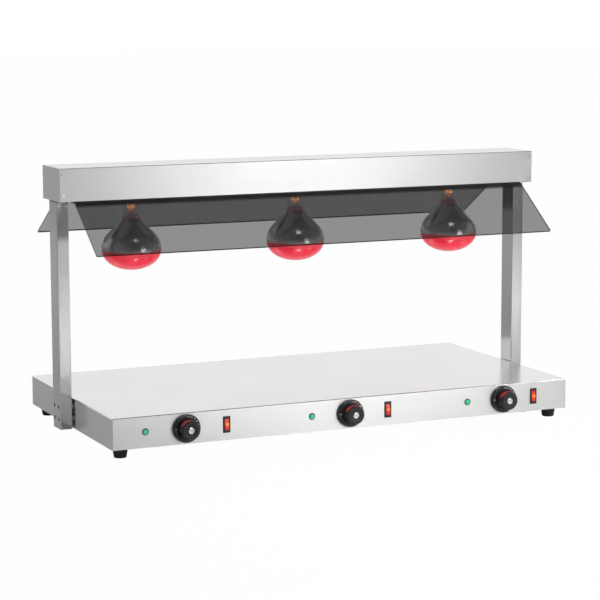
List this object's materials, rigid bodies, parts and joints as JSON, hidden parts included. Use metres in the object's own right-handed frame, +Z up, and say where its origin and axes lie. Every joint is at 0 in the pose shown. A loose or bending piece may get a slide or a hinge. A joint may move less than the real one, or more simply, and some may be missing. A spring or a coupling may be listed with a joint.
{
  "type": "food warming bridge",
  "caption": "Countertop food warmer: a heated steel base with knobs and switches, side posts, and an infrared lamp bridge with smoked shields.",
  "frame": {"origin": "on the floor under the middle of the base box", "axes": "+X to the right along the control panel, +Y from the control panel to the back, +Z up"},
  "size_m": [1.107, 0.5938, 0.5675],
  "materials": {
    "stainless_sheet": "fine brushed stainless sheet",
    "plain_sheet": "zinc coated sheet, dull",
    "black_steel": "black coated plate",
    "bright_fasteners": "bright plated screws and nuts",
    "black_rubber": "matt moulded rubber",
    "heater_sheath": "heat tinted steel tube",
    "mineral_board": "pressed mineral fibre",
    "black_plastic": "satin moulded",
    "cream_plastic": "moulded, electrical grade",
    "copper_capillary": "drawn copper",
    "cable_sleeve": "woven heat proof sleeve",
    "chrome_trim": "polished",
    "red_rocker": "clear red, lit from inside",
    "green_lens": "clear green, polished",
    "smoked_acrylic": "polished smoked sheet",
    "lamp_glass": "red face, silvered bell and clear neck",
    "lamp_cap_metal": "pressed brass",
    "white_ceramic": "glazed"
  },
  "bodies": {
    "frame": {"base_bottom_cover": "plain_sheet", "base_housing": "stainless_sheet", "bracket_bolts": "bright_fasteners", "bridge_bottom_plate": "plain_sheet", "bridge_end_cap_left": "stainless_sheet", "bridge_end_cap_right": "stainless_sheet", "bridge_housing": "stainless_sheet", "cable_gland": "black_plastic", "cover_screws": "bright_fasteners", "end_cap_screws": "bright_fasteners", "foot_back_left": "black_rubber", "foot_back_right": "black_rubber", "foot_front_left": "black_rubber", "foot_front_right": "black_rubber", "foot_screws": "bright_fasteners", "gland_locknut": "black_plastic", "heater_clamp_bars": "plain_sheet", "heater_nuts": "bright_fasteners", "heater_studs": "bright_fasteners", "heating_elements": "heater_sheath", "insulation_board": "mineral_board", "insulation_tray": "plain_sheet", "lamp_bulb_left": "lamp_glass", "lamp_bulb_middle": "lamp_glass", "lamp_bulb_right": "lamp_glass", "lamp_caps": "lamp_cap_metal", "lamp_sockets": "white_ceramic", "pilot_bodies": "black_plastic", "pilot_lenses": "green_lens", "post_left": "stainless_sheet", "post_nuts": "bright_fasteners", "post_right": "stainless_sheet", "post_screws": "bright_fasteners", "post_spacers": "plain_sheet", "post_top_brackets": "black_steel", "post_top_screws": "bright_fasteners", "shield_back": "smoked_acrylic", "shield_front": "smoked_acrylic", "shield_screws": "bright_fasteners", "socket_brackets": "plain_sheet", "switch_housing_left": "black_plastic", "switch_housing_middle": "black_plastic", "switch_housing_right": "black_plastic", "terminal_block": "cream_plastic", "thermostat_bodies": "cream_plastic", "thermostat_screws": "bright_fasteners", "thermostat_sensors": "copper_capillary", "wiring_looms": "cable_sleeve"},
    "knob_left": {"knob_left": "black_plastic", "knob_cap_left": "chrome_trim", "spindle_left": "bright_fasteners"},
    "rocker_left": {"rocker_left": "red_rocker"},
    "knob_middle": {"knob_middle": "black_plastic", "knob_cap_middle": "chrome_trim", "spindle_middle": "bright_fasteners"},
    "rocker_middle": {"rocker_middle": "red_rocker"},
    "knob_right": {"knob_right": "black_plastic", "knob_cap_right": "chrome_trim", "spindle_right": "bright_fasteners"},
    "rocker_right": {"rocker_right": "red_rocker"}
  },
  "joints": [
    {"name": "knob_left_turn", "type": "hinge", "parent": "frame", "child": "knob_left", "pos_m": [-0.3655, -0.268, 0.0535], "axis": [0, 1, 0], "range_deg": [0, 290]},
    {"name": "knob_middle_turn", "type": "hinge", "parent": "frame", "child": "knob_middle", "pos_m": [0, -0.268, 0.0535], "axis": [0, 1, 0], "range_deg": [0, 290]},
    {"name": "knob_right_turn", "type": "hinge", "parent": "frame", "child": "knob_right", "pos_m": [0.3655, -0.268, 0.0535], "axis": [0, 1, 0], "range_deg": [0, 290]},
    {"name": "rocker_left_tip", "type": "hinge", "parent": "frame", "child": "rocker_left", "pos_m": [-0.2775, -0.267, 0.0535], "axis": [1, 0, 0], "range_deg": [0, 16]},
    {"name": "rocker_middle_tip", "type": "hinge", "parent": "frame", "child": "rocker_middle", "pos_m": [0.088, -0.267, 0.0535], "axis": [1, 0, 0], "range_deg": [0, 16]},
    {"name": "rocker_right_tip", "type": "hinge", "parent": "frame", "child": "rocker_right", "pos_m": [0.4405, -0.267, 0.0535], "axis": [1, 0, 0], "range_deg": [0, 16]}
  ]
}
